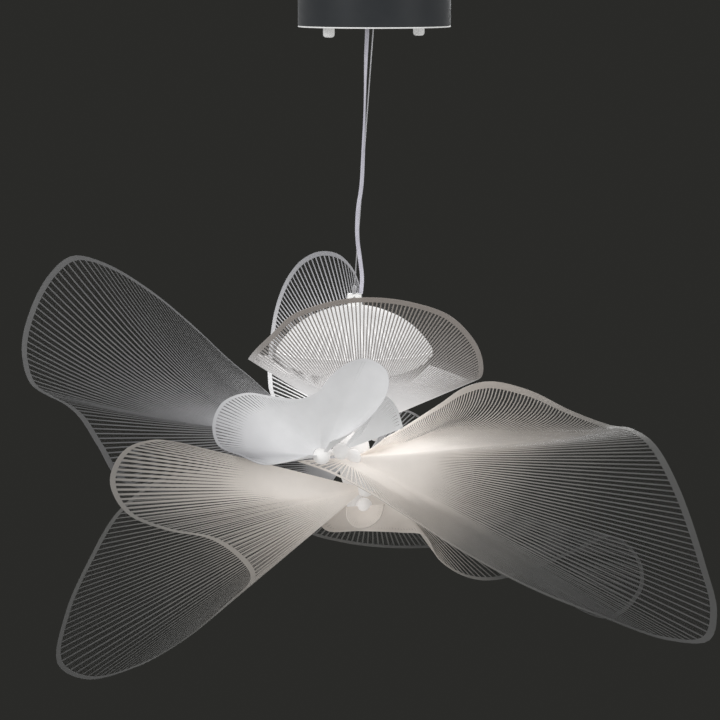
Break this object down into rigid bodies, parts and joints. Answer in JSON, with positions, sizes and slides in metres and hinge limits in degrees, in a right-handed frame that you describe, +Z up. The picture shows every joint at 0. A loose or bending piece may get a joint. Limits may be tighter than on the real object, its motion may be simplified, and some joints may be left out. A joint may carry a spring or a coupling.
{
  "type": "pendant lamp",
  "caption": "Pendant lamp: round ceiling canopy, steel wire and flat cord, fluted light head and a flower of large clear petals with white lines fanning from a hub.",
  "frame": {"origin": "centre of the canopy's ceiling face", "axes": "+Z up towards the ceiling, +X to the right and -Y towards the viewer in the picture"},
  "size_m": [0.7343, 0.2697, 0.7543],
  "materials": {
    "canopy_paint": "satin dark grey",
    "white_paint": "satin white",
    "white_plastic": "satin white",
    "nylon": "natural nylon",
    "steel": "zinc plated",
    "wire_steel": "bright strand",
    "brass": "plain",
    "aluminium": "plain",
    "cord_white": "smooth white jacket",
    "diffuser": "opal, lit from inside",
    "chip": "light emitting",
    "petal_sheet": "clear sheet with printed white lines"
  },
  "bodies": {
    "canopy": {"canopy_shell": "canopy_paint", "canopy_plate": "white_paint", "ceiling_strap": "steel", "canopy_studs": "steel", "stud_nuts": "steel", "led_driver": "white_plastic", "driver_screws": "steel", "terminal_block": "white_plastic", "terminal_screws": "brass", "swivel_housing": "nylon", "housing_screws": "steel"},
    "outlet": {"swivel_turntable": "nylon", "swivel_cap": "nylon"},
    "cradle": {"swivel_cradle": "brass"},
    "lamp": {"swivel_ball": "nylon", "wire_ferrule_top": "steel", "suspension_wire": "wire_steel", "wire_ferrule_bottom": "steel", "power_cord": "cord_white", "cord_clamp": "white_plastic", "lamp_bracket": "white_plastic", "bracket_neck": "white_plastic", "center_rod": "steel", "dome_nut": "steel", "upper_diffuser": "diffuser", "lower_diffuser": "diffuser", "diffuser_band": "diffuser", "heat_sink": "aluminium", "led_board_upper": "white_paint", "led_board_lower": "white_paint", "led_chips": "chip", "petal_hub": "white_plastic", "hub_washer": "white_plastic", "hub_cap_nut": "white_plastic", "petal_upper_left": "petal_sheet", "petal_lower_left": "petal_sheet", "petal_right": "petal_sheet", "petal_lower_right": "petal_sheet", "petal_front_shell": "petal_sheet", "petal_back_top": "petal_sheet", "petal_front_leaf": "petal_sheet", "petal_front_cone": "petal_sheet", "petal_bottom_back": "petal_sheet", "petal_bottom_tip": "petal_sheet", "petal_back_right": "petal_sheet", "petal_back_left": "petal_sheet"},
    "nut_left": {"thumb_nut_left": "white_plastic"},
    "nut_right": {"thumb_nut_right": "white_plastic"}
  },
  "joints": [
    {"name": "lamp_turn", "type": "hinge", "parent": "canopy", "child": "outlet", "pos_m": [0, 0, -0.036], "axis": [0, 0, 1], "range_deg": [-170, 170]},
    {"name": "swing_side", "type": "hinge", "parent": "outlet", "child": "cradle", "pos_m": [0, 0, -0.036], "axis": [0, 1, 0], "range_deg": [-12, 12]},
    {"name": "swing_front", "type": "hinge", "parent": "cradle", "child": "lamp", "pos_m": [0, 0, -0.036], "axis": [1, 0, 0], "range_deg": [-12, 12]},
    {"name": "nut_left_turn", "type": "hinge", "parent": "canopy", "child": "nut_left", "pos_m": [-0.04728, -0.03694, -0.055], "axis": [0, 0, 1], "continuous": true},
    {"name": "nut_right_turn", "type": "hinge", "parent": "canopy", "child": "nut_right", "pos_m": [0.04728, 0.03694, -0.055], "axis": [0, 0, 1], "continuous": true}
  ]
}
